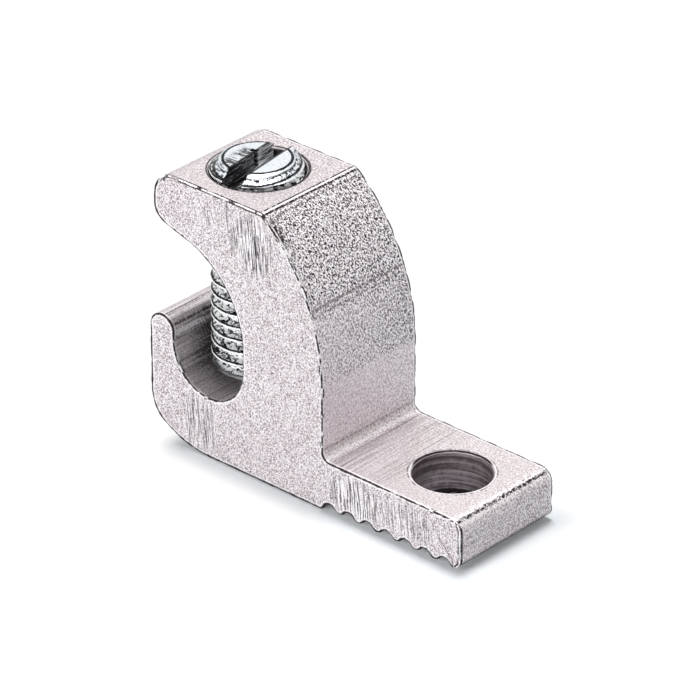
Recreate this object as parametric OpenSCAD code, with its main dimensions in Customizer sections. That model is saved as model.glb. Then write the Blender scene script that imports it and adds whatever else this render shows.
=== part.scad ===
// Lay-in lug: a one-piece extruded hook body with a drilled foot, and its slotted set screw.
// The origin is on the stud hole's axis, level with the flat base under the hook.
// +X runs towards the free end of the foot, Y lies along the extrusion, +Z is up.

/* [Body] */
// Width of the body, the length cut from the extrusion
body_w = 9.1; // [7.5:0.1:12]
// Height of the hook's flat top above the base
body_h = 19.8; // [19:0.1:24]
// Distance from the stud hole to the back of the hook
tower_x = 7.2; // [6:0.1:10]
// Distance from the stud hole to the set screw's axis
screw_x = 16.95; // [16.5:0.05:20]
// Radius where the hook's back meets the foot
root_r = 0.6; // [0.2:0.1:1.2]

/* [Hook] */
// Height at which the hook starts to curve over the channel
hook_z = 9; // [8.5:0.1:10]
// Radius of the hook's inner curve
hook_in_r = 6.85; // [6.4:0.05:7.4]
// Radius of the hook's back
hook_out_r = 13.8; // [12.5:0.1:14.5]
// Slope of the hook's underside at its nose, in degrees
nose_slope = 16; // [10:1:24]
// How far the nose stops short of the lip's front
nose_setback = 0.55; // [0:0.05:1.5]
// Radius of the nose's upper corner
nose_top_r = 1.8; // [1:0.1:2.4]
// Radius of the nose's lower corner
nose_low_r = 1.4; // [0.8:0.1:1.8]

/* [Channel] */
// Width of the channel for the conductor
channel_w = 6.2; // [5.6:0.1:6.8]
// How far the channel's middle lies in front of the set screw's axis
channel_shift = 0.35; // [0:0.05:0.6]
// Thickness of the floor under the channel
floor_t = 4.5; // [3.5:0.1:5]
// Thickness of the lip in front of the channel
lip_t = 2.15; // [1.6:0.05:3]
// Height of the lip above the base
lip_h = 9.25; // [8.6:0.05:10]
// Radius of the heel below the lip
heel_r = 2.55; // [1.5:0.05:3]
// Radius of the long curve from the heel to the base
heel_sweep_r = 7.5; // [5:0.1:9]
// Turn of that long curve, in degrees
heel_sweep_a = 32; // [20:1:40]

/* [Foot] */
// Thickness of the foot, from the base up to its top face
foot_t = 3.7; // [3:0.1:5]
// Distance from the stud hole to the foot's free end
foot_end = 4.6; // [4.2:0.1:7]
// Radius of the free end's upper edge
toe_top_r = 0.85; // [0.3:0.05:1.2]
// Radius of the free end's lower edge
toe_low_r = 0.6; // [0.3:0.05:1]
// How far the foot's underside lies above the base
foot_rise = 0.2; // [0.1:0.05:0.4]
// Pitch of the gripping grooves across the underside
groove_pitch = 1.64; // [1.4:0.02:2]
// Depth of the grooves
groove_depth = 0.4; // [0.25:0.05:0.5]

/* [Stud hole] */
// Diameter of the stud hole
stud_d = 5.3; // [4.4:0.1:6.6]
// Broken edge at the top of the stud hole
stud_break = 0.12; // [0.05:0.01:0.3]

/* [Set screw] */
// Outside diameter of the set screw's thread
screw_d = 6.35; // [5.8:0.05:6.5]
// Pitch of the thread
thread_pitch = 0.907; // [0.8:0.001:1.27]
// Distance from the slotted end to the middle of the thread's first valley
thread_lead = 1.15; // [0.6:0.05:1.2]
// Overall length of the set screw
screw_l = 15.2; // [14.8:0.1:15.4]
// How far the set screw stands above the hook's top
screw_proud = 0.8; // [0:0.1:1]
// Width of the bevel at the slotted end
screw_top_bevel = 0.85; // [0.5:0.05:1.1]
// Height of the bevel at the slotted end
screw_top_drop = 0.55; // [0.3:0.05:0.9]
// Bevel at the clamping end
screw_tip_bevel = 0.42; // [0.2:0.02:0.8]
// Width of the driver slot
slot_w = 1.5; // [1:0.1:1.8]
// Depth of the driver slot
slot_depth = 1.7; // [1:0.1:2.2]
// Turn of the slot from the X axis, in degrees
slot_turn = 98; // [0:1:180]

/* [Fit] */
// Radial clearance between the set screw and its hole
screw_fit = 0.05; // [0.02:0.01:0.1]
// Room left below the set screw's tip at the end of its hole
tip_room = 0.2; // [0.1:0.05:0.4]

/* [Hidden] */
$fn = 96;
// Overshoot of a cut past the face that it opens through
cut = 1;
hook_x = -tower_x;
screw_axis_x = -screw_x;
channel_x = screw_axis_x - channel_shift;
channel_r = channel_w / 2;
channel_low_x = channel_x - channel_r;
channel_high_x = channel_x + channel_r;
channel_z = floor_t + channel_r;
front_x = channel_low_x - lip_t;
lip_r = lip_t / 2;
nose_x = front_x + nose_setback;

// The hook's two curves start square to the channel's wall and to the hook's back
hook_in_x = channel_high_x - hook_in_r;
hook_out_x = hook_x - hook_out_r;

// The inner curve runs out into a straight slope towards the nose
slope_up = [sin(nose_slope), cos(nose_slope)];
slope_start = [hook_in_x, hook_z] + hook_in_r * slope_up;
nose_corner = [nose_x, slope_start.y + (slope_start.x - nose_x) * tan(nose_slope)];
nose_low_rise = nose_low_r * (1 - sin(nose_slope)) / cos(nose_slope);
nose_low = [nose_x + nose_low_r, nose_corner.y + nose_low_rise];

// The heel is two curves that meet with one tangent
heel_low = heel_sweep_r - heel_r;
heel_c = [front_x + heel_r, heel_sweep_r - heel_low * cos(heel_sweep_a)];
heel_sweep_c = [heel_c.x + heel_low * sin(heel_sweep_a), heel_sweep_r];

// The grooves are counted out from the stud hole, as far as the hook and the toe leave room
first_groove = -round(tower_x / groove_pitch - 0.5);
last_groove = floor((foot_end - toe_low_r) / groove_pitch);
toe_x = (last_groove + 0.5) * groove_pitch;

// Hollows and ridges are equal arcs that meet with one tangent
groove_r = (pow(groove_pitch / 2, 2) + pow(groove_depth, 2)) / (4 * groove_depth);
groove_z = foot_rise + groove_depth - groove_r;
ridge_z = foot_rise + groove_r;
base_ridge = [-sqrt(4 * pow(groove_r, 2) - pow(groove_r - groove_z, 2)), groove_r];

screw_r = screw_d / 2;
screw_top_z = body_h + screw_proud;
screw_tip_z = screw_top_z - screw_l;
screw_hole_r = screw_r + screw_fit;
screw_hole_end = screw_tip_z - tip_room;

// A 60 degree thread: narrow flats at its crests and roots
valley_w = thread_pitch * 7 / 8;
root_w = thread_pitch / 6;
thread_depth = (valley_w - root_w) / 2 / tan(30);

// The foot under the stud hole
module foot_blank() {
    translate([hook_x - cut, 0]) square([foot_end - hook_x + cut, foot_t]);
}

// The concave round between the hook's back and the foot
module root_round() {
    difference() {
        translate([hook_x - cut, foot_t - cut]) square(root_r + cut);
        translate([hook_x + root_r, foot_t + root_r]) circle(r = root_r);
    }
}

// What lies outside the arc of the hook's back
module crown_cut() {
    difference() {
        translate([hook_out_x, hook_z]) square([hook_out_r + cut, body_h - hook_z + cut]);
        translate([hook_out_x, hook_z]) circle(r = hook_out_r);
    }
}

// The open space under the hook and in front of its nose
module throat_cut() {
    intersection() {
        translate([hook_in_x, hook_z]) circle(r = hook_in_r);
        translate([slope_start.x, hook_z - cut]) square([hook_in_r + cut, hook_in_r + 2 * cut]);
    }
    polygon([
        [front_x - cut, lip_h],
        [front_x - cut, body_h + cut],
        [nose_x, body_h + cut],
        nose_corner,
        slope_start,
        [channel_high_x, hook_z],
        [channel_high_x, hook_z - cut],
        [channel_low_x, hook_z - cut],
        [channel_low_x, lip_h]
    ]);
}

// The round-bottomed channel and the full round on top of the lip
module channel_cut() {
    translate([channel_low_x, channel_z]) square([channel_w, lip_h - channel_z + cut]);
    translate([channel_x, channel_z]) circle(r = channel_r);
    difference() {
        translate([front_x - cut, lip_h - lip_r]) square([lip_t + 2 * cut, lip_r + cut]);
        translate([front_x + lip_r, lip_h - lip_r]) circle(r = lip_r);
    }
}

// What is rounded off the lower corner of the nose, under the slope
module nose_cut() {
    difference() {
        polygon([
            [nose_x - cut, nose_corner.y - cut],
            [nose_x - cut, nose_low.y],
            nose_low,
            nose_low - (nose_low_r + cut) * slope_up
        ]);
        translate(nose_low) circle(r = nose_low_r);
    }
}

// What is rounded off the lower front corner, by two curves that share a tangent
module heel_cut() {
    difference() {
        polygon([
            [front_x - cut, -cut],
            [front_x - cut, heel_c.y],
            heel_c,
            heel_sweep_c,
            [heel_sweep_c.x, -cut]
        ]);
        translate(heel_c) circle(r = heel_r);
        intersection() {
            translate(heel_sweep_c) circle(r = heel_sweep_r);
            polygon([
                heel_sweep_c,
                heel_sweep_c - (heel_sweep_r + 2 * cut) * [sin(heel_sweep_a), cos(heel_sweep_a)],
                [heel_sweep_c.x, -2 * cut]
            ]);
        }
    }
}

// What is rounded off a square corner; side is [1, 1] for a corner at the upper right
module corner_cut(corner, r, side) {
    centre = corner - r * side;
    difference() {
        polygon([
            centre,
            centre + [side.x * (r + cut), 0],
            centre + (r + cut) * side,
            centre + [0, side.y * (r + cut)]
        ]);
        translate(centre) circle(r = r);
    }
}

// One groove under the foot: a hollow arc between the rounded ridges on its two sides
module groove_cut(left_ridge, right_ridge) {
    translate([0, groove_z]) circle(r = groove_r);
    difference() {
        polygon([
            [left_ridge.x, -cut],
            left_ridge,
            [0, groove_z],
            right_ridge,
            [right_ridge.x, -cut]
        ]);
        translate(left_ridge) circle(r = groove_r);
        translate(right_ridge) circle(r = groove_r);
    }
}

// Everything below the foot's wavy underside
module underside_cut() {
    for (i = [first_groove:last_groove]) {
        translate([i * groove_pitch, 0])
            groove_cut(
                i == first_groove ? base_ridge : [-groove_pitch / 2, ridge_z],
                [groove_pitch / 2, ridge_z]
            );
    }
    translate([toe_x, -cut]) square([foot_end + cut - toe_x, cut + foot_rise]);
}

module body_outline() {
    difference() {
        union() {
            translate([front_x, 0]) square([hook_x - front_x, body_h]);
            foot_blank();
            root_round();
        }
        crown_cut();
        throat_cut();
        channel_cut();
        nose_cut();
        heel_cut();
        underside_cut();
        corner_cut([nose_x, body_h], nose_top_r, [-1, 1]);
        corner_cut([foot_end, foot_t], toe_top_r, [1, 1]);
        corner_cut([foot_end, foot_rise], toe_low_r, [1, -1]);
    }
}

// A through hole whose upper edge is broken
module stud_hole() {
    translate([0, 0, -cut]) cylinder(d = stud_d, h = foot_t + 2 * cut);
    translate([0, 0, foot_t - stud_break])
        cylinder(d1 = stud_d, d2 = stud_d + 4 * stud_break, h = 2 * stud_break);
}

module lug_body() {
    color("gainsboro")
    difference() {
        translate([0, body_w / 2, 0]) rotate([90, 0, 0]) linear_extrude(body_w) body_outline();
        stud_hole();
        translate([screw_axis_x, 0, screw_hole_end])
            cylinder(r = screw_hole_r, h = body_h + cut - screw_hole_end);
    }
}

// Half of the screw's section: the blank with its two bevels
module screw_blank() {
    polygon([
        [0, 0],
        [screw_r - screw_tip_bevel, 0],
        [screw_r, screw_tip_bevel],
        [screw_r, screw_l - screw_top_drop],
        [screw_r - screw_top_bevel, screw_l],
        [0, screw_l]
    ]);
}

// The thread's valleys, drawn as rings at its pitch
module thread_valleys() {
    for (z = [screw_l - thread_lead:-thread_pitch:thread_pitch / 2]) {
        translate([screw_r, z])
            polygon([
                [cut, -valley_w / 2],
                [0, -valley_w / 2],
                [-thread_depth, -root_w / 2],
                [-thread_depth, root_w / 2],
                [0, valley_w / 2],
                [cut, valley_w / 2]
            ]);
    }
}

module set_screw() {
    color("silver")
    translate([screw_axis_x, 0, screw_tip_z])
    difference() {
        rotate_extrude() difference() {
            screw_blank();
            thread_valleys();
        }
        rotate([0, 0, slot_turn])
            translate([-screw_d, -slot_w / 2, screw_l - slot_depth])
            cube([2 * screw_d, slot_w, slot_depth + cut]);
    }
}

lug_body();
set_screw();
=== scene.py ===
"""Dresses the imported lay-in lug: an aluminium hook on a drilled foot, and its zinc-plated set screw.

Sizes are in millimetres in the part's own frame, and become metres only when a mesh is made.
"""

import logging
import math
from dataclasses import dataclass
from enum import Enum
from typing import Any, Callable, Optional, Union

import bpy
import numpy as np
from mathutils import Matrix, Vector

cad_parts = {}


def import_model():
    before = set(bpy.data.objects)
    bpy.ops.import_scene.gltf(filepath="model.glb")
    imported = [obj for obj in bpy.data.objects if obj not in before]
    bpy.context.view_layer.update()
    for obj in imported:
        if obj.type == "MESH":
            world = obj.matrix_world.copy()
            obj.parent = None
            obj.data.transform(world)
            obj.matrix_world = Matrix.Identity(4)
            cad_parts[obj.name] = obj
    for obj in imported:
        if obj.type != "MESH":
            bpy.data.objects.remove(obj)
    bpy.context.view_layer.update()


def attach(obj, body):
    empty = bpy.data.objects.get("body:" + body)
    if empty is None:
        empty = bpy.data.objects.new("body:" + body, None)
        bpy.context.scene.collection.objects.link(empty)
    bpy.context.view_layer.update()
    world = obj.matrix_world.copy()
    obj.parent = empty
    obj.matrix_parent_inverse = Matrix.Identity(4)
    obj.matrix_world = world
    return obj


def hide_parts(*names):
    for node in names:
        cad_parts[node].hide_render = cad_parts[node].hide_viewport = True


LOG = logging.getLogger("lug")
MM = 0.001
Colour = tuple[float, float, float]
Point = tuple[float, float]
Triple = tuple[float, float, float]
Array = np.ndarray
Socket = bpy.types.NodeSocket
Object = bpy.types.Object
Material = bpy.types.Material


def srgb(red: int, green: int, blue: int) -> Colour:
    """The linear colour of a screen colour, by the usual two-part sRGB curve.

    Args:
        red, green, blue: the channels from 0 to 255.

    Returns:
        The three linear channels from 0 to 1.
    """
    v = np.array([red, green, blue]) / 255
    linear = np.where(v <= 0.04045, v / 12.92, ((v + 0.055) / 1.055) ** 2.4)
    return tuple(float(c) for c in linear)


def ripple(along: Array, seed: int, longest: float, octaves: int) -> Array:
    """Smooth repeatable noise: a sum of sines, each half as long and 0.6 as tall as the last.

    Args:
        along: positions, in the same unit as longest.
        seed: picks the phases.
        longest: the longest wavelength.
        octaves: how many sines are added.

    Returns:
        One value per position, mostly between -1 and 1.
    """
    rng = np.random.default_rng(seed)
    order = np.arange(octaves)
    wave = longest / 2.0**order * rng.uniform(0.8, 1.2, octaves)
    phase = rng.uniform(0, 2 * np.pi, octaves)
    height = 0.6**order
    return np.sin(2 * np.pi * along[..., None] / wave + phase) @ height / height.sum() * 1.6


def heading(turn: float) -> Array:
    """The level direction of length 1 that stands at an angle in degrees from the X axis."""
    angle = math.radians(turn)
    return np.array([math.cos(angle), math.sin(angle), 0.0])


def add_piece(name: str, points: Array, faces: list[list[int]]) -> Object:
    """Makes an object at the origin from points in millimetres.

    Args:
        name: the piece's name.
        points: vertices of shape (n, 3).
        faces: vertex numbers of each face, anticlockwise from outside.

    Returns:
        The new object, linked to the scene.
    """
    mesh = bpy.data.meshes.new(name)
    mesh.from_pydata((points * MM).tolist(), [], faces)
    mesh.validate()
    piece = bpy.data.objects.new(name, mesh)
    bpy.context.scene.collection.objects.link(piece)
    return piece


def loft(name: str, grid: Array) -> Object:
    """Makes a closed piece of quads between rings, with a many-sided cap on the first and the last ring.

    Args:
        name: the piece's name.
        grid: points of shape (rings, around, 3), the rings anticlockwise for a viewer at the first.

    Returns:
        The new object.
    """
    rings, around = grid.shape[:2]
    index = np.arange(rings * around).reshape(rings, around)
    onward = np.roll(index, -1, 1)
    quads = np.stack([index[:-1], index[1:], onward[1:], onward[:-1]], -1).reshape(-1, 4)
    faces = quads.tolist() + [index[0].tolist(), index[-1][::-1].tolist()]
    return add_piece(name, grid.reshape(-1, 3), faces)


def cut_away(piece: Object, cutter: Object, finish: Material) -> None:
    """Subtracts a closed cutter from a closed piece for good.

    Args:
        piece: the piece, which gets a new mesh.
        cutter: the cutter, which is removed.
        finish: the material of the new walls.
    """
    cutter.data.materials.append(finish)
    modifier = piece.modifiers.new("cut", "BOOLEAN")
    modifier.object = cutter
    modifier.operation = "DIFFERENCE"
    modifier.solver = "EXACT"
    modifier.material_mode = "TRANSFER"
    bpy.context.view_layer.update()
    shaped = bpy.data.meshes.new_from_object(piece.evaluated_get(bpy.context.evaluated_depsgraph_get()))
    piece.modifiers.clear()
    piece.data = shaped
    bpy.data.objects.remove(cutter)


def read(items: Any, name: str, width: int, kind: type = float) -> Array:
    """One property of all vertices or faces, as rows of that width."""
    flat = np.empty(len(items) * width, kind)
    items.foreach_get(name, flat)
    return flat.reshape(-1, width)


def smooth(mesh: bpy.types.Mesh, angle: float) -> None:
    """Shades a mesh smooth, but for edges that turn by more than an angle in degrees."""
    mesh.polygons.foreach_set("use_smooth", np.ones(len(mesh.polygons), bool))
    mesh.set_sharp_from_angle(angle=math.radians(angle))


def store(mesh: bpy.types.Mesh, name: str, values: Array) -> None:
    """Stores one number or one vector per vertex under a name that a material reads."""
    kind, key = ("FLOAT", "value") if values.ndim == 1 else ("FLOAT_VECTOR", "vector")
    mesh.attributes.new(name, kind, "POINT").data.foreach_set(key, values.astype(np.float32).ravel())


@dataclass(frozen=True)
class SetScrew:
    """The slotted set screw: a right-hand thread between two bevelled ends.

    Attributes:
        axis: X and Y of its axis.
        depth: the thread's depth.
        crest_z, crest_turn: a crest's height, and the angle in degrees at which it has that height.
        top_lag, lag_z: how far the upper crests lag behind, and between which heights that builds up.
        slot_turn, slot_shift: the slot's direction in degrees from the X axis, and its offset along X.
        burr_turn, nick_at: the burr's angle, and how far along the slot the nick is.
    """

    axis: Point = (-16.95, 0.0)
    radius: float = 3.175
    pitch: float = 0.907
    crest_z: float = 0.244
    crest_turn: float = 222.14
    top_lag: float = 0.38
    lag_z: Point = (14.5, 19.0)
    tip_z: float = 5.4
    top_z: float = 20.6
    top_bevel: float = 0.85
    top_drop: float = 0.55
    slot_w: float = 1.5
    slot_turn: float = 98.0
    slot_shift: float = 0.1
    tip_bevel: float = 0.42
    depth: float = 0.556
    slot_depth: float = 1.7
    burr_turn: float = 76.0
    nick_at: float = 0.7

    def thread(self, turn: Array, level: Array) -> Array:
        """Radius of the thread at an angle and a height.

        Within half a pitch of a crest, which climbs one pitch a turn, the radius is flat for a sixteenth of
        a pitch, then falls along a 60 degree flank to a flat root. The photographed crests above the hook
        lie lower than those in the channel foretell, and the part that the hook hides takes up that lag.

        Args:
            turn: angles about the axis.
            level: heights, which the angles broadcast against.

        Returns:
            The radii.
        """
        pitch, (low, high) = self.pitch, self.lag_z
        ratio = np.clip((level - low) / (high - low), 0, 1)
        climb = self.crest_z + pitch * (turn - math.radians(self.crest_turn)) / (2 * np.pi)
        climb = climb - self.top_lag * ratio**2 * (3 - 2 * ratio)
        away = np.abs((level - climb + pitch / 2) % pitch - pitch / 2)
        fall = np.clip((away - pitch / 16) / math.tan(math.radians(30)), 0, self.depth)
        return self.radius - fall

    def blank(self) -> Object:
        """Wraps the threaded surface round the axis and closes both ends with shrinking rings.

        The bevel at the slotted end is narrower round the burr, by a bell curve about its angle.

        Returns:
            The screw without its slot.
        """
        turn = np.linspace(0, 2 * np.pi, 180, endpoint=False)
        level = np.linspace(self.tip_z, self.top_z, 260)[:, None]
        radius = self.thread(turn, level)
        bell = np.exp(-(((np.degrees(turn) - self.burr_turn) / 8) ** 2))
        bevel = self.top_bevel - 0.45 * bell + ripple(turn * self.radius, 5, 2.0, 5) * 0.03
        radius = np.minimum(radius, self.radius - self.tip_bevel + (level - self.tip_z))
        radius = np.minimum(radius, self.radius - bevel + (self.top_z - level) * bevel / self.top_drop)
        height = np.broadcast_to(level, radius.shape)
        shrink = np.array([0.94, 0.8, 0.6, 0.4, 0.2])[:, None]
        low_r, top_r = radius[:1] * shrink[::-1], radius[-1:] * shrink
        height = np.concatenate([np.full_like(low_r, self.tip_z), height, np.full_like(top_r, self.top_z)])
        radius = np.concatenate([low_r, radius, top_r])
        grid = np.stack([self.axis[0] + radius * np.cos(turn), radius * np.sin(turn), height], 2)
        return loft("set_screw_dressed", grid[::-1])

    def bar(self, name: str, section: Array, stations: Array, turn: float, middle: Array) -> Object:
        """A straight cutter through a point, whose section stands across its direction.

        Args:
            name: the cutter's name.
            section: offsets aside and upwards, anticlockwise seen from the end.
            stations: places along it, falling.
            turn: its direction in degrees from the X axis.
            middle: the point that it passes through.

        Returns:
            The cutter.
        """
        ahead = heading(turn)
        aside = np.array([-ahead[1], ahead[0], 0.0])
        grid = (middle + stations[:, None, None] * ahead + section[None, :, :1] * aside
                + section[None, :, 1:] * np.array([0.0, 0.0, 1.0]))
        return loft(name, grid)

    def cutters(self) -> list[Object]:
        """The slotting saw's path across the top, and the small nick in the slot's edge.

        Returns:
            Both cutters.
        """
        half, deep = self.slot_w / 2, self.slot_depth
        middle = np.array([self.axis[0] + self.slot_shift, 0.0, self.top_z])
        slot = np.array([(-half, 1.5), (-half, 0.1 - deep), (0.1 - half, -deep), (half - 0.1, -deep),
                         (half, 0.1 - deep), (half, 1.5)])
        nick = np.array([(-0.17, 1.0), (-0.17, -1.2), (0.17, -1.2), (0.17, 1.0)])
        turn = self.slot_turn
        nicked = middle + self.nick_at * heading(turn)
        return [self.bar("saw", slot, np.linspace(4, -4, 41), turn, middle),
                self.bar("nick", nick, np.array([1.15, 0.3]), turn + 90, nicked)]

    def build(self) -> Object:
        """Makes the screw in place of its solid, riding with it.

        Returns:
            The dressed screw.
        """
        piece = self.blank()
        wall = SlotWall().build()
        piece.data.materials.append(ZincPlate().build())
        piece.data.materials.append(wall)
        for cutter in self.cutters():
            cut_away(piece, cutter, wall)
        smooth(piece.data, 40)
        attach(piece, "screw")
        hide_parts("set_screw")
        return piece


SCREW = SetScrew()


def operator(operation: str, swapped: bool = False) -> Callable[["Signal", "Operand"], "Signal"]:
    """A method of Signal that adds one Math node, with the other operand first if swapped."""
    def method(self: "Signal", other: "Operand") -> "Signal":
        """Adds the node and returns its result."""
        return self.desk.maths(operation, *((other, self) if swapped else (self, other)))
    return method


@dataclass(frozen=True)
class Signal:
    """A shader socket that can be written into arithmetic."""

    desk: "ShaderDesk"
    socket: Socket
    __add__ = __radd__ = operator("ADD")
    __mul__ = __rmul__ = operator("MULTIPLY")
    __sub__, __rsub__ = operator("SUBTRACT"), operator("SUBTRACT", swapped=True)
    __truediv__ = operator("DIVIDE")


Operand = Union[Signal, float]


class ShaderDesk:
    """Lays out the nodes of one material or world."""

    def __init__(self, owner: Union[Material, bpy.types.World]) -> None:
        """Clears the owner's nodes and adds its output."""
        owner.use_nodes = True
        self.owner = owner
        self.tree = owner.node_tree
        self.tree.nodes.clear()
        self.output = self.node("Output" + owner.bl_rna.identifier)

    def node(self, kind: str, settings: Optional[dict[str, Any]] = None, **sockets: Any) -> bpy.types.Node:
        """Adds one node.

        Args:
            kind: the node's type name after "ShaderNode".
            settings: properties of the node, set before its sockets.
            sockets: values, Signals or sockets by input name, with _ for a space, or s0, s1 for a place.

        Returns:
            The new node.
        """
        node = self.tree.nodes.new("ShaderNode" + kind)
        for key, value in (settings or {}).items():
            setattr(node, key, value)
        for key, value in sockets.items():
            by_place = key[0] == "s" and key[1:].isdigit()
            target = node.inputs[int(key[1:]) if by_place else key.replace("_", " ")]
            if isinstance(value, Signal):
                value = value.socket
            if isinstance(value, Socket):
                self.tree.links.new(value, target)
            else:
                opaque = target.type == "RGBA" and len(value) == 3
                target.default_value = (*value, 1) if opaque else value
        return node

    def close(self, shader: bpy.types.Node) -> Union[Material, bpy.types.World]:
        """Leads a shader to the output and returns the material or world."""
        self.tree.links.new(shader.outputs[0], self.output.inputs["Surface"])
        return self.owner

    def maths(self, operation: str, *values: Operand) -> Signal:
        """One Math node as a Signal."""
        sockets = {f"s{order}": value for order, value in enumerate(values)}
        return Signal(self, self.node("Math", {"operation": operation}, **sockets).outputs[0])

    def away(self, across: Signal, along: Signal, centre: Point) -> Signal:
        """Distance from a point in the plane of two coordinates."""
        side, ahead = across - centre[0], along - centre[1]
        return self.maths("SQRT", side * side + ahead * ahead)

    def ease(self, value: Operand, low: float, high: float, start: float = 0.0, end: float = 1.0) -> Signal:
        """A smooth step of value: start at or below low, end at or above high."""
        node = self.node("MapRange", {"interpolation_type": "SMOOTHSTEP"}, Value=value,
                         From_Min=low, From_Max=high, To_Min=start, To_Max=end)
        return Signal(self, node.outputs[0])

    def band(self, value: Signal, low: float, high: float, soft: float) -> Signal:
        """1 between low and high, falling to 0 over the soft width on both sides."""
        return self.ease(value, low - soft, low) * self.ease(value, high, high + soft, 1, 0)

    def spot(self, across: Signal, along: Signal, centre: Point, half: Point) -> Signal:
        """1 inside an ellipse of those half axes, falling to 0 a little outside it."""
        side, ahead = (across - centre[0]) / half[0], (along - centre[1]) / half[1]
        return self.ease(side * side + ahead * ahead, 0.4, 1.8, 1, 0)

    def blend(self, factor: Operand, first: Any, second: Any) -> Socket:
        """Mixes two colours."""
        node = self.node("Mix", {"data_type": "RGBA", "clamp_factor": True}, s0=factor, s6=first, s7=second)
        return node.outputs[2]


class MaterialDesk(ShaderDesk):
    """Lays out one material, with Object coordinates in millimetres and the paint so far at hand."""

    def __init__(self, name: str) -> None:
        """Makes the material and its coordinates."""
        super().__init__(bpy.data.materials.new(name))
        source = self.node("TexCoord").outputs["Object"]
        self.place = self.node("VectorMath", {"operation": "SCALE"}, s0=source, Scale=1 / MM).outputs[0]
        split = self.node("SeparateXYZ", s0=self.place)
        self.x, self.y, self.z = (Signal(self, out) for out in split.outputs)
        self.colour: Any = PURE

    def paint(self, mask: Operand, colour: Any) -> None:
        """Lays a colour over the paint so far, where a mask says."""
        self.colour = self.blend(mask, self.colour, colour)

    def grain(self, noise: Signal, strength: Operand, dark: Any, light: Colour, spread: float) -> None:
        """Darkens the paint where a noise is high and lightens it where the noise is low.

        Args:
            noise, strength: a noise around 0.5, and how far the grain covers the paint, from 0 to 1.
            dark, light: the colours of the high and of the low places.
            spread: how far from 0.5 the noise must be for its full effect.
        """
        self.paint(self.ease(noise, 0.5 + 0.2 * spread, 0.5 + spread) * strength, dark)
        self.paint(self.ease(noise, 0.5 - spread, 0.5 - 0.2 * spread, 1, 0) * strength, light)

    def attribute(self, name: str) -> Signal:
        """A number stored on the piece's mesh."""
        return Signal(self, self.node("Attribute", {"attribute_name": name}).outputs["Fac"])

    def noise(self, scale: float, detail: float, rough: float, warp: float = 0.0,
              place: Optional[Socket] = None) -> Signal:
        """Fractal noise around 0.5, on the object's place or on another one."""
        node = self.node("TexNoise", Vector=self.place if place is None else place, Scale=scale,
                         Detail=detail, Roughness=rough, Distortion=warp)
        return Signal(self, node.outputs[0])

    def streaks(self, scale: Triple, detail: float, rough: float, turn: Triple = (0, 0, 0),
                warp: float = 0.0, place: Optional[Socket] = None) -> Signal:
        """The same noise, drawn out: its place is first turned by degrees, then scaled along each axis."""
        turned = self.node("Mapping", {"vector_type": "POINT"}, s0=self.place if place is None else place,
                           Rotation=tuple(map(math.radians, turn))).outputs[0]
        drawn = self.node("VectorMath", {"operation": "MULTIPLY"}, s0=turned, s1=scale).outputs[0]
        return self.noise(1.0, detail, rough, warp, drawn)

    def metal(self, roughness: Operand, height: Signal, depth: float, metallic: Operand,
              gloss: float = 0.5) -> Material:
        """Closes the material with a metal shader of the paint so far.

        Args:
            roughness, metallic: the shader's own.
            height, depth: relief from 0 to 1, and its full depth in millimetres.
            gloss: the strength of the plain reflection.

        Returns:
            The finished material.
        """
        bump = self.node("Bump", Strength=1.0, Distance=depth * MM, Height=height)
        shader = self.node("BsdfPrincipled", Base_Color=self.colour, Roughness=roughness, Metallic=metallic,
                           Specular_IOR_Level=gloss, Normal=bump.outputs[0])
        return self.close(shader)


STUD_AXIS: Point = (0.0, 0.0)
# The ground line 42 degrees from +X: on round walls and edges, painted shade and dark outlines are stronger
# on one side of it.
SKEW: Point = (0.74, 0.67)
PURE: Colour = (1.0, 1.0, 1.0)
PALE = srgb(221, 212, 213)
LILAC = srgb(252, 240, 248)
WHITE = srgb(250, 246, 248)
MUTED = srgb(158, 142, 147)
DUSK = srgb(112, 96, 103)
INK = srgb(44, 36, 40)


def edge_highlight_and_outline(desk: MaterialDesk) -> None:
    """Draws the broken edge of the section with the thin line that lies along it.

    A highlighted edge carries a painted highlight with a dark line beside it. An outlined edge is painted
    dark with a bright line beside it, and every edge on the side turned to +Y is outlined.

    Args:
        desk: the material's desk.
    """
    far = desk.ease(desk.y, 0.5, 1.5, 0, 0.9)
    ink = desk.maths("MAXIMUM", desk.attribute("ink"), far)
    here = desk.attribute("rim") + (desk.noise(4.0, 3, 0.7) - 0.5) * 0.12
    broken = desk.ease(desk.noise(1.7, 3, 0.7), 0.36, 0.5)
    inked = desk.ease(desk.noise(1.1, 3, 0.6) + ink * 0.5, 0.6, 0.7)
    here = here - ink * ink * 0.1 + 0.03
    beside = desk.band(here, 0.11, 0.21, 0.02) * (broken * 0.5 + 0.5) * (1 - inked * 0.4)
    desk.paint(beside, desk.blend(inked, INK, WHITE))
    desk.paint(desk.ease(here, 0.07, 0.1, 1, 0), desk.blend(inked, WHITE, INK))


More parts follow.
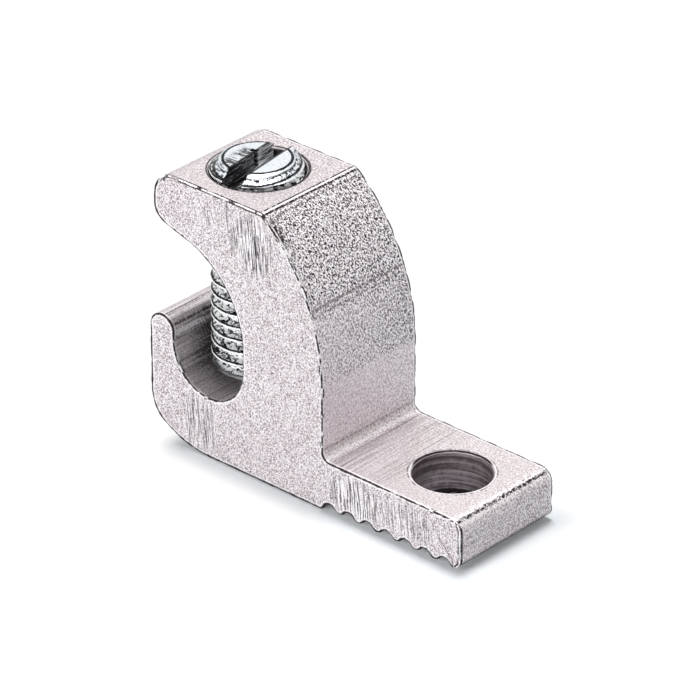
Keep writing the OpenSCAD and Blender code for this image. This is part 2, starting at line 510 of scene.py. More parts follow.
@dataclass(frozen=True)
class SawnAluminium:
    """The cut faces of the hook: pale and speckled, with patches of upright scratches.

    Attributes:
        faint, scratched: the scratches' strength, and centre, half axes and strength of each patch.
    """

    name: str = "sawn_aluminium"
    base: Colour = srgb(219, 209, 212)
    faint: float = 0.08
    scratched: tuple[tuple[Point, Point, float], ...] = (
        ((-13.3, 17.1), (1.6, 2.0), 1.0),
        ((-15.45, 18.6), (0.22, 1.0), 0.8),
        ((-17.3, 17.9), (1.2, 0.5), 0.45),
        ((-18.1, 2.2), (1.5, 1.9), 0.75),
        ((-4.4, 1.8), (2.2, 1.5), 0.85),
        ((0.2, 2.0), (2.6, 1.1), 0.6),
        ((-21.1, 19.4), (0.22, 0.16), 1.0),
        ((-17.15, 0.2), (0.14, 0.3), 1.0),
    )

    def build(self) -> Material:
        """Builds the material.

        Returns:
            The material.
        """
        desk = MaterialDesk(self.name)
        fine = desk.noise(17.0, 1, 0.6)
        pits = desk.noise(12.0, 1, 0.5)
        saw = desk.streaks((15.0, 1.0, 0.7), 2, 0.6, (0, 5, 0))
        marks: Operand = self.faint
        for centre, half, depth in self.scratched:
            marks = desk.maths("MAXIMUM", marks, desk.spot(desk.x, desk.z, centre, half) * depth)
        desk.colour = self.base
        desk.grain(fine, 0.8, MUTED, WHITE, 0.12)
        desk.grain(pits, 1.0, DUSK, WHITE, 0.17)
        desk.grain(saw, marks, INK, WHITE, 0.07)
        # Painted highlights and dark outlines along the section's edges.
        edge_highlight_and_outline(desk)
        return desk.metal(fine * 0.2 + 0.5, fine * 0.5 + saw * 0.5, 0.02, 0.2, 0.3)


@dataclass(frozen=True)
class Seam:
    """A line along the extrusion, at a point of the section, as wide as twice its reach."""

    at: Point
    reach: float
    colour: Colour
    strength: float = 0.8
    ragged: float = 0.05


@dataclass(frozen=True)
class ExtrudedSkin:
    """The drawn outer and inner skin, whose tone, grit and die lines are stored along the outline.

    Attributes:
        soot_r, soot_z: the distances from the screw's axis and the heights that bound the painted shade
            beside the screw.
        toe: the point of the section round which the skin is speckled.
        stud_r, dots_r: the lip of the stud hole, painted as a highlight on the near side and as shade on
            the far side, and the dotted ring round it.
        mouth, mouth_r: middle and radius of the black ring of painted shade round the screw.
        inked, burr: centre and half axes of a black and a bright spot at the near edge of the back.
    """

    name: str = "extruded_skin"
    soot_r: Point = (3.5, 4.9)
    soot_z: Point = (5.6, 8.4)
    toe: Point = (4.22, 3.5)
    stud_r: Point = (2.8, 2.84)
    dots_r: Point = (2.89, 2.94)
    mouth: Point = (-16.92, 0.03)
    mouth_r: Point = (3.42, 3.46)
    inked: tuple[Point, Point] = ((-11.0, 18.5), (1.2, 1.4))
    burr: tuple[Point, Point] = ((-10.36, 17.74), (0.17, 0.17))
    # Painted highlights and shade: white seams on the ridge, the lip's top and the root round, dark ones
    # beside them and on the end's bottom round.
    seams: tuple[Seam, ...] = (
        Seam((-12.0, 19.45), 0.06, INK, 0.8, 0.2),
        Seam((-12.3, 19.71), 0.08, INK, 1.5, 0.08),
        Seam((-12.44, 19.79), 0.07, WHITE, 1.0, 0.03),
        Seam((-12.57, 19.8), 0.07, INK, 1.5, 0.08),
        Seam((-8.2, 14.2), 0.1, DUSK, 0.7, 0.2),
        Seam((-8.05, 13.8), 0.05, DUSK, 0.5, 0.14),
        Seam((-7.2, 4.42), 0.05, DUSK, 0.6, 0.1),
        Seam((-6.9, 3.82), 0.12, WHITE, 0.45, 0.2),
        Seam((-6.5, 3.7), 0.04, DUSK, 0.6, 0.1),
        Seam((-21.3, 9.24), 0.05, INK, 0.8, 0.06),
        Seam((-20.93, 9.1), 0.13, WHITE, 1.0, 0.12),
        Seam((-20.55, 8.72), 0.12, INK, 0.8, 0.2),
        Seam((-20.42, 8.1), 0.2, WHITE, 0.9, 0.7),
        Seam((4.1, 3.64), 0.1, WHITE, 0.8, 0.4),
        Seam((4.25, 3.54), 0.1, INK, 1.1, 0.5),
        Seam((4.42, 3.37), 0.07, WHITE, 0.8, 0.4),
        Seam((4.38, 0.34), 0.24, INK, 2.0, 0.1),
    )

    def build(self) -> Material:
        """Builds the material.

        Returns:
            The material.
        """
        desk = MaterialDesk(self.name)
        x, y, z = desk.x, desk.y, desk.z
        skin = desk.node("Attribute", {"attribute_name": "skin"}).outputs["Vector"]
        tone, grit, lines = (desk.attribute(name) for name in ("tone", "grit", "lines"))
        worm = desk.streaks((7.0, 9.8, 1.0), 1, 0.5, (0, 0, 12), 0.8, skin)
        drawn = desk.streaks((7.5, 0.14, 1.0), 3, 0.75, place=skin)
        fine = desk.noise(9.5, 1, 0.6)
        cloud = desk.noise(0.6, 3, 0.6)
        # Painted shade: the channel is darkened beside the screw, where it stands close to the lip wall.
        soot = desk.ease(desk.away(x, y, SCREW.axis), *self.soot_r, 0.9, 0)
        soot = soot * desk.band(z, *self.soot_z, 0.7)
        back = desk.ease(z, 4.3, 5.0) * desk.ease(x, -12.6, -12.0) * 0.8
        desk.colour = desk.blend(tone * (cloud * 0.8 + 0.6) + soot, desk.blend(back, PALE, LILAC), INK)
        desk.grain(fine, 0.7, DUSK, WHITE, 0.22)
        desk.grain(drawn, lines, INK, WHITE, 0.16)
        deep = desk.blend(desk.ease(grit, 0.6, 0.9), MUTED, INK)
        desk.grain(worm, grit * (y * 0.05 + 1), deep, WHITE, 0.035)
        toe = desk.ease(desk.away(x, z, self.toe), 0.2, 0.42, 0.9, 0)
        desk.grain(desk.noise(13.0, 1, 0.6), toe, INK, WHITE, 0.1)
        wobble = desk.noise(5.0, 3, 0.75) - 0.5
        broken = desk.ease(desk.streaks((3.0, 6.0, 3.0), 2, 0.7), 0.36, 0.5)
        for seam in self.seams:
            here = desk.away(x, z, seam.at) + wobble * seam.ragged * 2
            mask = desk.ease(here, seam.reach * 0.7, seam.reach * 1.2, 1, 0)
            desk.paint(mask * (broken * seam.strength), seam.colour)
        # Painted highlight and shade on the stud hole's lip: bright on the near side, dark on the far side.
        ring = desk.away(x, y, STUD_AXIS) + wobble * 0.12
        mouth_light_and_shade = desk.blend(desk.ease(y * SKEW[0] - x * SKEW[1], 0.9, 1.5), WHITE, INK)
        desk.paint(desk.ease(ring, *self.stud_r, 1, 0), mouth_light_and_shade)
        dots = desk.ease(desk.noise(3.4, 2, 0.7), 0.5, 0.56)
        desk.paint(desk.band(ring, *self.dots_r, 0.03) * dots * 0.9, INK)
        # Painted shade: a black ring on the top round the screw's hole.
        mouth = desk.away(x, y, self.mouth) + wobble * 0.12
        lip = desk.ease(mouth, *self.mouth_r, 1, 0) * desk.ease(z, 19.6, 19.75)
        desk.paint(lip * (broken * 0.2 + 0.8), INK)
        near = desk.ease(y, -4.2, -3.6, 1, 0) * desk.ease(desk.noise(3.6, 3, 0.75), 0.46, 0.5)
        desk.paint(desk.spot(x, z, *self.inked) * near, INK)
        # Painted highlights and dark outlines along the section's edges.
        edge_highlight_and_outline(desk)
        corner = desk.band(y + wobble * 0.12, -4.4, -4.28, 0.03) * desk.ease(x, 4.45, 4.55)
        desk.paint(corner * (broken * 0.5 + 0.5), INK)
        desk.paint(desk.spot(x, z, *self.burr) * near, WHITE)
        return desk.metal(worm * 0.2 + 0.4, fine * 0.3 + worm * grit * 0.7, 0.03, 0.8)


@dataclass(frozen=True)
class BoredWall:
    """A drilled or tapped wall, ringed by the tool, with a painted highlight at its mouth and a band of
    painted shade.

    Attributes:
        mouth_z, soot: the height above which the mouth is a painted highlight, and the two that bound the
            painted shade.
        far_ink, far_soot: how black the mouth is painted on the far side, as shade, and how much painted
            shade is left there.
    """

    name: str
    mouth_z: float
    soot: Point
    far_ink: float
    far_soot: float
    light: Colour = srgb(190, 178, 181)
    dark: Colour = srgb(106, 96, 100)

    def build(self) -> Material:
        """Builds the material.

        Returns:
            The material.
        """
        desk = MaterialDesk(self.name)
        rings = desk.streaks((0.12, 0.12, 3.6), 4, 0.7, (3, 0, 0))
        fine = desk.noise(2.5, 3, 0.7)
        desk.colour = desk.blend(desk.ease(rings * 0.75 + fine * 0.25, 0.4, 0.62), self.dark, self.light)
        # Painted highlight on the mouth; painted shade on its far side and over a band deep in the wall.
        mouth_light_and_shade = desk.ease(desk.z + (fine - 0.5) * 0.1, self.mouth_z, self.mouth_z + 0.03)
        behind = desk.y * SKEW[0] - desk.x * SKEW[1]
        inked = mouth_light_and_shade * desk.ease(behind, 0.6, 1.2) * self.far_ink
        painted_shade = desk.band(desk.z + (fine - 0.5) * 0.15, *self.soot, 0.08)
        painted_shade = painted_shade * desk.ease(desk.y, 0.8, 2.0, 1, self.far_soot)
        desk.paint(mouth_light_and_shade * 0.8, WHITE)
        desk.paint(desk.maths("MAXIMUM", painted_shade, inked), INK)
        return desk.metal(fine * 0.2 + 0.35, rings, 0.03, 0.8)


@dataclass(frozen=True)
class ZincPlate:
    """Bright bluish plating, blotted dark along the thread, with a rubbed top and a ringed tip.

    Crests carry a painted highlight and their flanks lines of painted shade, on the same helix as the
    thread's shape.

    Attributes:
        foot_lean: how much the black line at the bevel's foot rises to the right.
        combed_aside, combed_along: where the scratches beside the slot start and end, and how softly.
    """

    name: str = "zinc_plate"
    bright: Colour = srgb(232, 237, 241)
    dull: Colour = srgb(120, 122, 130)
    worn: Colour = srgb(150, 152, 158)
    # Near black: for the painted shade beside the crests, and for the blots, the tip's rings, the scratches
    # and the lines round the top.
    soot: Colour = srgb(16, 16, 22)
    bevel_r: float = SCREW.radius - SCREW.top_bevel
    bevel_z: float = SCREW.top_z - SCREW.top_drop
    foot_lean: float = 0.067
    combed_aside: tuple[Point, Point] = ((-1.9, -1.3), (-0.65, -0.6))
    combed_along: tuple[Point, Point] = ((-2.2, -1.8), (0.4, 1.0))

    def build(self) -> Material:
        """Builds the material.

        Returns:
            The material.
        """
        desk = MaterialDesk(self.name)
        x, y, z = desk.x, desk.y, desk.z
        fine = desk.noise(8.0, 2, 0.7)
        blot = desk.streaks((2.4, 2.4, 5.0), 3, 0.75, warp=1.0)
        shank = desk.ease(z, self.bevel_z - 0.05, self.bevel_z + 0.03, 1, 0)
        desk.colour = self.bright
        desk.grain(fine, 0.35, self.dull, PURE, 0.16)
        jitter = fine - 0.5
        side_x, side_y = x - SCREW.axis[0], y - SCREW.axis[1]
        half, origin = SCREW.pitch / 2, SCREW.crest_z - SCREW.pitch * SCREW.crest_turn / 360
        climb = desk.maths("ARCTAN2", side_y, side_x) * (half / math.pi) + origin
        height = z - climb + desk.ease(z, *SCREW.lag_z, 0, SCREW.top_lag)
        above = desk.maths("WRAP", height, half, -half) + jitter * 0.08
        desk.paint(desk.ease(blot, 0.52, 0.53) * shank, self.soot)
        desk.paint(desk.ease(blot, 0.485, 0.5, 1, 0) * shank, PURE)
        right = desk.ease(x * SKEW[0] + y * SKEW[1], -13.2, -11.2, 1.0, 0.4)
        # Painted shade: dark lines on the flanks just above and below each crest, the lower one weaker on
        # one side.
        lines = desk.band(above, 0.08, 0.13, 0.02) + desk.band(above, -0.3, -0.08, 0.03) * right
        desk.paint(lines * shank, self.soot)
        # Painted highlight along each crest.
        desk.paint(desk.band(above, -0.06, 0.05, 0.02) * shank, PURE)
        rings = desk.ease(desk.streaks((0.3, 0.3, 9.0), 3, 0.7), 0.4, 0.6)
        tip = desk.ease(z, SCREW.tip_z + 0.5, SCREW.tip_z + 0.65, 1, 0)
        desk.paint(tip * 0.8, desk.blend(rings, self.worn, self.soot))
        ahead_x, ahead_y, _ = heading(SCREW.slot_turn)
        aside, along = side_y * -ahead_x + side_x * ahead_y, side_x * ahead_x + side_y * ahead_y
        comb = desk.streaks((1.2, 6.0, 1.0), 3, 0.7, (0, 0, 90 - SCREW.slot_turn))
        combed = desk.ease(comb, 0.45, 0.5) * 0.9
        for value, (start, end) in ((aside, self.combed_aside), (along, self.combed_along)):
            combed = combed * desk.ease(value, *start) * desk.ease(value, *end, 1, 0)
        desk.paint(combed, self.soot)
        ring = desk.away(x, y, SCREW.axis) + jitter * 0.14
        top = desk.ease(z, SCREW.top_z - 0.14, SCREW.top_z - 0.06)
        rim = desk.band(ring, self.bevel_r - 0.14, self.bevel_r + 0.03, 0.03) * top
        lean = desk.maths("MAXIMUM", side_x * SKEW[0] + y * SKEW[1], 0.0)
        level = z + jitter * 0.1 - lean * self.foot_lean
        foot = desk.band(level, self.bevel_z - 0.02, self.bevel_z + 0.06, 0.02)
        streak = desk.streaks((3.1, 3.1, 11.0), 2, 0.6)
        spots = desk.ease(streak, 0.5, 0.54) * desk.ease(level, 20.02, 20.1) * (1 - top)
        turned = desk.band(level + (streak - 0.5) * 0.35, 20.3, 20.36, 0.02) * (1 - top)
        slot_side = desk.maths("ABSOLUTE", aside - SCREW.slot_shift * ahead_y) + jitter * 0.08
        lip = desk.band(slot_side, SCREW.slot_w / 2 - 0.1, SCREW.slot_w / 2 + 0.11, 0.03) * top
        lines = rim + foot * 0.95 + spots * 0.75 + turned * 0.85 + lip * 0.9
        desk.paint(lines, self.soot)
        bare = desk.ease(z, 18.0, 19.5, 0.2, 0.9)
        return desk.metal(fine * 0.2 + 0.24, fine * 0.4 + blot * 0.6, 0.03, bare, 0.12)


@dataclass(frozen=True)
class SlotWall:
    """The walls that the slotting saw left, streaked along the slot, outlined at the far end and painted
    paler there as light.

    Attributes:
        paler_y, end_r: where the walls are painted paler as light, and how far from the axis their end is
            outlined.
    """

    name: str = "slot_wall"
    light: Colour = srgb(240, 242, 244)
    dark: Colour = srgb(26, 26, 30)
    paler_y: float = 0.9
    end_r: float = 2.72

    def build(self) -> Material:
        """Builds the material.

        Returns:
            The material.
        """
        desk = MaterialDesk(self.name)
        streak = desk.streaks((1.0, 0.7, 9.0), 3, 0.7, (0, 0, 90 - SCREW.slot_turn))
        # Painted light: the walls turn paler towards the far end.
        far = desk.ease(desk.y, self.paler_y - 0.1, self.paler_y + 0.1, -0.035, 0.1)
        desk.colour = desk.blend(desk.ease(streak + far, 0.51, 0.61), self.dark, self.light)
        end = desk.ease(desk.away(desk.x, desk.y, SCREW.axis), self.end_r, self.end_r + 0.1)
        top = desk.ease(desk.z + (streak - 0.5) * 0.2, SCREW.top_z - 0.12, SCREW.top_z - 0.07)
        edge = desk.maths("MAXIMUM", end, top) * desk.ease(desk.y, 1.2, 1.5)
        desk.paint(edge, self.dark)
        return desk.metal(0.4, streak, 0.03, 0.4)


class Skin(Enum):
    """How a stretch of the outline looks: its tone, grit, die lines and edge ink, from 0 to about 1."""

    BASE = (0.3, 0.2, 0.4, 1.0)
    TOOTH = (0.3, 0.3, 0.4, 0.9)
    # Painted shade in part: the end's tone darkens the face turned away from the light.
    END = (0.16, 0.65, 0.6, 0.1)
    TOE = (0.08, 0.6, 0.5, 0.1)
    FOOT = (0.1, 0.3, 0.12, 0.5)
    FOOT_DRAWN = (0.19, 0.25, 0.6, 0.6)
    ROOT = (0.04, 0.5, 0.35, 0.6)
    BACK_LOW = (0.0, 0.55, 0.15, 0.45)
    BACK_MID = (0.0, 0.8, 0.2, 0.38)
    BACK_BAND = (0.06, 0.9, 0.5, 0.35)
    BACK_HIGH = (0.0, 1.2, 0.1, 0.38)
    TOP = (0.2, 0.5, 0.08, 0.0)
    NOSE = (0.1, 0.1, 0.1, 1.2)
    THROAT = (0.3, 0.1, 0.3, 0.85)
    CHANNEL = (0.1, 0.3, 0.7, 0.5)
    LIP_WALL = (0.2, 0.3, 0.8, 0.5)
    LIP = (0.08, 0.25, 0.9, 0.75)
    FRONT = (0.1, 0.2, 0.2, 1.15)


@dataclass(frozen=True)
class Run:
    """One stretch of the hook's outline, a line or an arc, and the look of its skin.

    A line runs from start to end. An arc runs about centre, from angle start to angle end in degrees.
    """

    start: Union[Point, float]
    end: Union[Point, float]
    skin: Skin
    centre: Optional[Point] = None
    radius: float = 0.0

    def sample(self, step: float) -> tuple[Array, Array]:
        """Evenly spaced points and outward normals, without the last point.

        A line's normal lies to the right of its direction. An arc's points away from its centre where the
        arc turns left, and towards it where it turns right.

        Args:
            step: the widest spacing in millimetres.

        Returns:
            Points and normals, both of shape (n, 2).
        """
        if self.centre is None:
            start, end = np.array(self.start), np.array(self.end)
            length = np.hypot(*(end - start))
            count = max(1, math.ceil(length / step))
            ratio = np.arange(count)[:, None] / count
            normal = np.array([end[1] - start[1], start[0] - end[0]]) / length
            return start + ratio * (end - start), np.repeat(normal[None], count, 0)
        sweep = math.radians(self.end - self.start)
        count = max(4, math.ceil(abs(sweep) * self.radius / step))
        angle = math.radians(self.start) + sweep * np.arange(count) / count
        radial = np.stack([np.cos(angle), np.sin(angle)], 1)
        return np.array(self.centre) + self.radius * radial, radial * np.sign(sweep)


@dataclass
class LugBody:
    """The one-piece extruded body: foot, hook, channel and lip, with its stud hole and tapped hole.

    Attributes:
        edge_r, rim_w: the radius of the broken edges, and how far in the rim is stored.
        groove_r, groove_z, ridge_z, pitch: radius, centres' heights and spacing of the foot's wave.
        back, back_r: centre and radius of the hook's back.
    """

    width: float = 9.1
    height: float = 19.8
    edge_r: float = 0.09
    ridge_r: float = 0.5
    rim_w: float = 0.4
    step: float = 0.09
    stud_r: float = 2.65
    bore_r: float = 3.225
    bore_end_z: float = 5.2
    groove_r: float = 0.52025
    groove_z: float = 0.07975
    ridge_z: float = 0.72025
    pitch: float = 1.64
    back: Point = (-21.0, 9.0)
    back_r: float = 13.8

    def teeth(self) -> list[Run]:
        """The flat base and the wavy underside of the foot, whose arcs meet with one tangent.

        Returns:
            The stretches from the heel to the toe.
        """
        runs = [Run((-17.377, 0.0), (-7.503, 0.0), Skin.BASE)]
        tangent = math.degrees(math.atan2(self.ridge_z - self.groove_z, self.pitch / 2))
        first = math.degrees(math.atan2(self.groove_r - self.groove_z, 0.943))
        runs.append(Run(-90.0, -first, Skin.TOOTH, (-7.503, self.groove_r), self.groove_r))
        for place in range(-4, 3):
            start = 180 - first if place == -4 else 180 - tangent
            runs.append(Run(start, tangent, Skin.TOOTH, (place * self.pitch, self.groove_z), self.groove_r))
            end = -90.0 if place == 2 else -tangent
            centre = ((place + 0.5) * self.pitch, self.ridge_z)
            runs.append(Run(tangent - 180, end, Skin.TOOTH, centre, self.groove_r))
        return runs

    def foot(self) -> list[Run]:
        """The free end, the top of the foot and the round at its root."""
        return [
            Run(-90.0, 0.0, Skin.END, (4.0, 0.8), 0.6),
            Run((4.6, 0.8), (4.6, 2.85), Skin.END),
            Run(0.0, 90.0, Skin.TOE, (3.75, 2.85), 0.85),
            Run((3.75, 3.7), (-2.2, 3.7), Skin.FOOT),
            Run((-2.2, 3.7), (-6.6, 3.7), Skin.FOOT_DRAWN),
            Run(270.0, 180.0, Skin.ROOT, (-6.6, 4.3), 0.6),
        ]

    def hook(self) -> list[Run]:
        """The back, the ridge where it meets the flat top, the nose and the throat.

        Returns:
            The stretches from the root of the foot to the channel.
        """
        top = self.height - self.ridge_r
        rise = top - self.back[1]
        ridge_x = self.back[0] + math.sqrt((self.back_r - self.ridge_r) ** 2 - rise**2)
        ridge_a = math.degrees(math.atan2(rise, ridge_x - self.back[0]))
        return [
            Run((-7.2, 4.3), (-7.2, 9.0), Skin.BACK_LOW),
            Run(0.0, 19.0, Skin.BACK_MID, self.back, self.back_r),
            Run(19.0, 24.0, Skin.BACK_BAND, self.back, self.back_r),
            Run(24.0, ridge_a, Skin.BACK_HIGH, self.back, self.back_r),
            Run(ridge_a, 90.0, Skin.TOP, (ridge_x, top), self.ridge_r),
            Run((ridge_x, self.height), (-20.2, self.height), Skin.TOP),
            Run(90.0, 140.0, Skin.TOP, (-20.2, 18.0), 1.8),
            Run(140.0, 180.0, Skin.NOSE, (-20.2, 18.0), 1.8),
            Run((-22.0, 18.0), (-22.0, 17.454), Skin.NOSE),
            Run(180.0, 254.0, Skin.NOSE, (-20.6, 17.454), 1.4),
            Run((-20.986, 16.108), (-19.162, 15.585), Skin.THROAT),
            Run(74.0, 0.0, Skin.THROAT, (-21.05, 9.0), 6.85),
        ]

    def channel(self) -> list[Run]:
        """The channel, the round top of the lip, its front and the heel."""
        return [
            Run((-14.2, 9.0), (-14.2, 7.6), Skin.CHANNEL),
            Run(0.0, -130.0, Skin.CHANNEL, (-17.3, 7.6), 3.1),
            Run(-130.0, -180.0, Skin.LIP_WALL, (-17.3, 7.6), 3.1),
            Run((-20.4, 7.6), (-20.4, 8.175), Skin.LIP_WALL),
            Run(0.0, 180.0, Skin.LIP, (-21.475, 8.175), 1.075),
            Run((-22.55, 8.175), (-22.55, 3.302), Skin.FRONT),
            Run(180.0, 238.0, Skin.FRONT, (-20.0, 3.302), 2.55),
            Run(238.0, 270.0, Skin.BASE, (-17.377, 7.5), 7.5),
        ]

    def outline(self) -> tuple[Array, ...]:
        """The whole outline in the X-Z plane, anticlockwise from the start of the flat base.

        Returns:
            Points and outward normals of shape (n, 2), the looks of shape (n, 4), softened over 0.6 mm, and
            the length along the outline.
        """
        points, normals, looks = [], [], []
        for run in self.teeth() + self.foot() + self.hook() + self.channel():
            place, normal = run.sample(self.step)
            points.append(place)
            normals.append(normal)
            looks.append(np.repeat([run.skin.value], len(place), 0))
        look = np.concatenate(looks)
        soft = np.mean([np.roll(look, shift, 0) for shift in range(-3, 4)], 0)
        place = np.concatenate(points)
        along = np.cumsum(np.hypot(*(place - np.roll(place, 1, 0)).T))
        return place, np.concatenate(normals), soft, along

    def blank(self) -> Object:
        """Sweeps the outline across the width.

        Each ring is the outline moved inwards along its normals. Over the last stretch of the width the
        move follows a quarter circle, so that the edge is broken. Its radius wanders along the outline,
        and most where the skin is gritty.

        Returns:
            The undrilled body.
        """
        points, normals, look, along = self.outline()
        half = self.width / 2
        rings = []
        for side in (-1, 1):
            wander = ripple(along, 11 + side, 2.2, 6) * (0.35 + look[:, 1])
            radius = (self.edge_r * np.clip(1 + wander, 0.4, 2.8))[None, :, None]
            turn = np.radians(np.array([90, 60, 30, 0]))[:, None, None]
            inward = radius * (1 - np.cos(turn))
            across = side * (half - radius * (1 - np.sin(turn)))
            inward = np.concatenate([np.full_like(radius, self.rim_w), inward])
            across = np.concatenate([np.full_like(radius, side * half), across])
            ring = np.concatenate([points[None, :, :1] - normals[None, :, :1] * inward, across,
                                   points[None, :, 1:] - normals[None, :, 1:] * inward], 2)
            rings.append(ring if side < 0 else ring[::-1])
        levels = np.linspace(-half + self.rim_w, half - self.rim_w, 19)
        flat = np.repeat(points[None], len(levels), 0)
        across = np.broadcast_to(levels[:, None], flat.shape[:2])
        middle = np.stack([flat[..., 0], across, flat[..., 1]], 2)
        return loft("lug_body_dressed", np.concatenate([rings[0], middle, rings[1]]))

    def drill(self, axis_x: float, profile: list[Point]) -> Object:
        """A cutter turned about an upright axis.

        Args:
            axis_x: where the axis stands.
            profile: radius and height of each ring, from the bottom up.

        Returns:
            The cutter.
        """
        turn = np.linspace(0, 2 * np.pi, 144, endpoint=False)
        radius, level = (np.array(column)[:, None] for column in zip(*profile))
        ring = np.stack([axis_x + radius * np.cos(turn), radius * np.sin(turn),
                         np.broadcast_to(level, (len(profile), len(turn)))], 2)
        return loft("drill", ring[::-1])

    def dress(self, piece: Object) -> None:
        """Stores the looks on the mesh and hands out the finishes.

        The rim is the distance from the section's edge: the larger of the depth below the outline and the
        depth below the cut face. The skin holds the length along the outline and the place across it.

        Args:
            piece: the drilled body.
        """
        mesh = piece.data
        where = read(mesh.vertices, "co", 3) / MM
        points, _, look, along = self.outline()
        nearest = np.empty(len(where), int)
        depth = np.empty(len(where))
        for chunk in np.array_split(np.arange(len(where)), 24):
            square = ((where[chunk][:, None, ::2] - points[None]) ** 2).sum(2)
            nearest[chunk] = square.argmin(1)
            depth[chunk] = np.sqrt(square.min(1))
        depth = np.where(depth < 0.06, 0, depth)
        distance = np.maximum(self.width / 2 - np.abs(where[:, 1]), depth)
        store(mesh, "rim", np.minimum(distance, self.rim_w))
        for name, values in zip(("tone", "grit", "lines", "ink"), look[nearest].T):
            store(mesh, name, values)
        store(mesh, "skin", np.stack([along[nearest], where[:, 1], np.zeros(len(where))], 1))
        slots = read(mesh.polygons, "material_index", 1, int)[:, 0]
        sawn = (slots == 0) & (np.abs(read(mesh.polygons, "normal", 3)[:, 1]) > 0.95)
        mesh.polygons.foreach_set("material_index", np.where(sawn, 1, slots))
        smooth(mesh, 32)

    def build(self) -> Object:
        """Makes the body in place of its solid, riding with it.

        Returns:
            The dressed body.
        """
        piece = self.blank()
        drilled = BoredWall("drilled_wall", 3.6, (-1.0, 0.9), 1.0, 1.0).build()
        tapped = BoredWall("tapped_wall", 19.7, (15.0, 19.6), 0.0, 0.3).build()
        for finish in (ExtrudedSkin().build(), SawnAluminium().build(), drilled, tapped):
            piece.data.materials.append(finish)
        stud = self.drill(STUD_AXIS[0], [(self.stud_r, -1.0), (self.stud_r, 3.58), (2.8, 3.73), (2.9, 4.2)])
        wide = self.bore_r + 0.09
        bore = self.drill(SCREW.axis[0], [(self.bore_r, self.bore_end_z), (self.bore_r, 19.7),
                                          (wide, 19.82), (wide, 21.0)])
        cut_away(piece, stud, drilled)
        cut_away(piece, bore, tapped)
        self.dress(piece)
        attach(piece, "lug")
        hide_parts("lug_body")
        return piece


@dataclass
class Camera:
    """The photograph's long lens, seen from the front right and above."""

    azimuth: float = 42.14
    elevation: float = 28.966
    lens: float = 268.7
    distance: float = 337.71
    shift_right: float = -6.6
    shift_up: float = 11.08

    def build(self) -> None:
        """Stands the camera on its line of sight, level, and makes it the scene's camera."""
        az, el = math.radians(self.azimuth), math.radians(self.elevation)
        right = heading(self.azimuth)
        back = np.array([math.sin(az) * math.cos(el), -math.cos(az) * math.cos(el), math.sin(el)])
        up = np.cross(back, right)
        eye = (self.shift_right * right + self.shift_up * up + self.distance * back) * MM
        matrix = np.eye(4)
        matrix[:3] = np.stack([right, up, back, eye], 1)
        data = bpy.data.cameras.new("camera")
        data.lens = self.lens
        data.clip_start = 0.01
        camera = bpy.data.objects.new("camera", data)
        camera.matrix_world = Matrix(matrix.tolist())
        bpy.context.scene.collection.objects.link(camera)
        bpy.context.scene.camera = camera


@dataclass(frozen=True)
class Lamp:
    """One square lamp that faces the lug."""

    name: str
    place: Triple
    size: float
    power: float
    facing: Triple = (-9.0, 0.0, 8.0)

    def build(self) -> None:
        """Hangs the lamp in its place."""
        data = bpy.data.lights.new(self.name, "AREA")
        data.size = self.size * MM
        data.energy = self.power
        lamp = bpy.data.objects.new(self.name, data)
        away = Vector(self.place) - Vector(self.facing)
        turned = away.to_track_quat("Z", "Y").to_matrix().to_4x4()
        lamp.matrix_world = Matrix.Translation(Vector(self.place) * MM) @ turned
        bpy.context.scene.collection.objects.link(lamp)


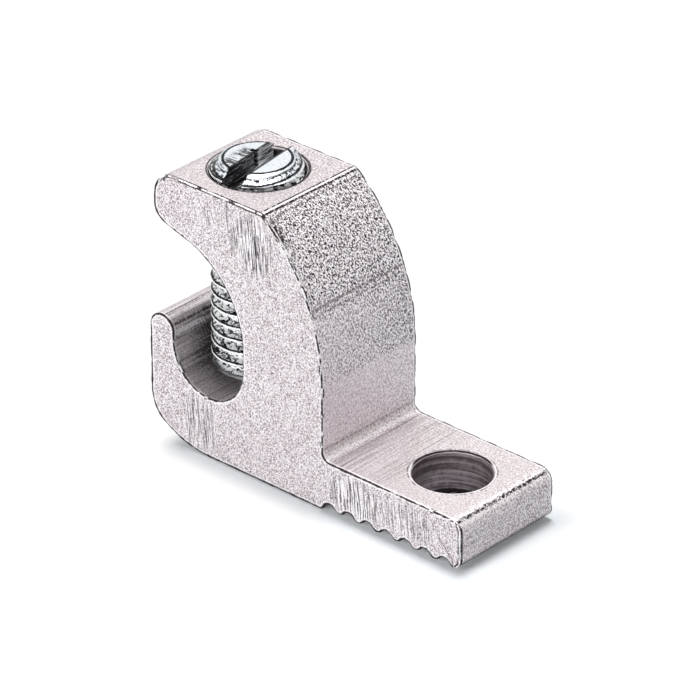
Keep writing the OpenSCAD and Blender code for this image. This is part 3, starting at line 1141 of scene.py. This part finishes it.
@dataclass
class Studio:
    """Soft light from above and in front over a pale floor, before a white backdrop.

    Attributes:
        world, glow_power, white_power: strengths of the plain light and of the floor near and far.
        footprint: middle and half of the lug's length along X, and along Y.
        shadow_w: how far from the footprint the floor turns white.
    """

    world: float = 0.28
    pale: Colour = srgb(236, 240, 243)
    glow: Colour = (0.96, 1.0, 1.02)
    glow_power: float = 0.11
    white_power: float = 1.05
    footprint: tuple[Point, Point] = ((-7.4, 12.0), (0.0, 4.55))
    shadow_w: float = 2.4
    floor_half: float = 900.0
    lamps: tuple[Lamp, ...] = (
        Lamp("key", (-38.0, 42.0, 292.0), 90.0, 0.54),
        Lamp("side", (-100.0, -260.0, 80.0), 130.0, 0.5),
    )

    def sky(self) -> None:
        """A white world for the camera and for reflections, and a softer one for plain light."""
        world = bpy.data.worlds.new("studio")
        bpy.context.scene.world = world
        desk = ShaderDesk(world)
        path = desk.node("LightPath").outputs
        seen = desk.maths("MAXIMUM", path["Is Camera Ray"], path["Is Glossy Ray"])
        seen = desk.maths("MAXIMUM", seen, path["Is Transmission Ray"])
        plain = desk.node("Background", Color=PURE, Strength=self.world).outputs[0]
        white = desk.node("Background", Color=PURE, Strength=1.0).outputs[0]
        desk.close(desk.node("MixShader", s0=seen, s1=plain, s2=white))

    def floor(self) -> None:
        """A pale floor that keeps the lug's shadow and whitens away from it.

        The whitening is for the camera alone and adds no light to the lug. From below the floor is clear.
        """
        desk = MaterialDesk("pale_floor")
        side, ahead = (desk.maths("MAXIMUM", desk.maths("ABSOLUTE", place - middle) - half, 0.0)
                       for place, (middle, half) in zip((desk.x, desk.y), self.footprint))
        away = desk.maths("SQRT", side * side + ahead * ahead)
        matt = desk.node("BsdfDiffuse", Color=self.pale).outputs[0]
        glow = desk.node("Emission", Color=self.glow, Strength=self.glow_power).outputs[0]
        white = desk.node("Emission", Color=PURE, Strength=self.white_power).outputs[0]
        lifted = desk.node("AddShader", s0=matt, s1=glow).outputs[0]
        far = desk.ease(away, 0.2, self.shadow_w)
        faded = desk.node("MixShader", s0=far, s1=lifted, s2=white).outputs[0]
        camera = desk.node("LightPath").outputs["Is Camera Ray"]
        top = desk.node("MixShader", s0=camera, s1=matt, s2=faded).outputs[0]
        below = desk.node("NewGeometry").outputs["Backfacing"]
        clear = desk.node("BsdfTransparent").outputs[0]
        finish = desk.close(desk.node("MixShader", s0=below, s1=top, s2=clear))
        half = self.floor_half
        corners = np.array([(-half, -half, 0), (half, -half, 0), (half, half, 0), (-half, half, 0)])
        floor = add_piece("floor", corners, [[0, 1, 2, 3]])
        floor.data.materials.append(finish)

    def build(self) -> None:
        """Sets the stage."""
        self.sky()
        self.floor()
        for lamp in self.lamps:
            lamp.build()
        bpy.context.scene.view_settings.view_transform = "Standard"


def main() -> None:
    logging.basicConfig(level=logging.INFO, format="%(message)s")
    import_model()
    Camera().build()
    Studio().build()
    for maker in (LugBody(), SCREW):
        piece = maker.build()
        mesh = piece.data
        LOG.info("%s: %d vertices, %d faces", piece.name, len(mesh.vertices), len(mesh.polygons))


if __name__ == "__main__":
    main()
